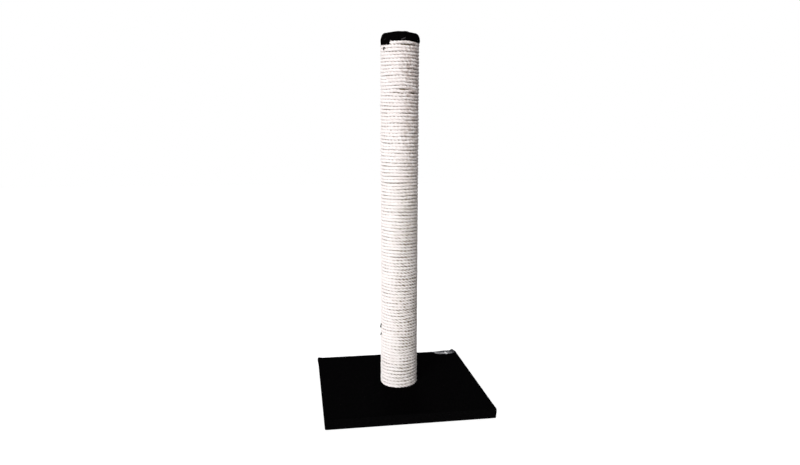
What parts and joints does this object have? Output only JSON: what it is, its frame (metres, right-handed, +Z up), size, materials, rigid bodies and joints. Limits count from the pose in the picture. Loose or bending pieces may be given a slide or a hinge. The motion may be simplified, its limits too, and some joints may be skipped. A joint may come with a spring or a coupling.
{
  "type": "cat scratching post",
  "caption": "Upright post wound with sisal rope from a carpet cap down to a square carpet-covered base, for a cat to stretch against and scratch.",
  "frame": {"origin": "centre of the square base's underside, on the floor", "axes": "+Z up along the post; X and Y along the sides of the square base"},
  "size_m": [0.4, 0.4, 0.896],
  "materials": {
    "carpet": "short dense cut pile, matt black",
    "rope": "bleached three-strand sisal, matt, slightly hairy",
    "chipboard": "raw chipboard, fine flakes",
    "pine": "turned softwood, unfinished",
    "cardboard": "spiral-wound kraft board, matt",
    "zinc": "zinc plated",
    "label": "blank silver-grey sticker, satin"
  },
  "bodies": {
    "root": {"base_board": "chipboard", "base_carpet": "carpet", "base_staple_01": "zinc", "base_staple_02": "zinc", "base_staple_03": "zinc", "base_staple_04": "zinc", "base_staple_05": "zinc", "base_staple_06": "zinc", "base_staple_07": "zinc", "base_staple_08": "zinc", "base_staple_09": "zinc", "base_staple_10": "zinc", "base_staple_11": "zinc", "base_staple_12": "zinc", "base_staple_13": "zinc", "base_staple_14": "zinc", "base_staple_15": "zinc", "base_staple_16": "zinc", "bolt_washer": "zinc", "cap_carpet": "carpet", "cap_staple_1": "zinc", "cap_staple_2": "zinc", "cap_staple_3": "zinc", "cap_staple_4": "zinc", "cap_staple_5": "zinc", "cap_staple_6": "zinc", "centre_bolt": "zinc", "corner_label": "label", "foot_plug": "pine", "foot_plug_screw_1": "zinc", "foot_plug_screw_2": "zinc", "foot_plug_screw_3": "zinc", "post_tube": "cardboard", "rope_foot_staple_1": "zinc", "rope_foot_staple_2": "zinc", "rope_top_staple_1": "zinc", "rope_top_staple_2": "zinc", "rope_winding": "rope", "tee_nut": "zinc", "top_plug": "chipboard", "top_plug_screw_1": "zinc", "top_plug_screw_2": "zinc", "top_plug_screw_3": "zinc"}
  },
  "joints": []
}
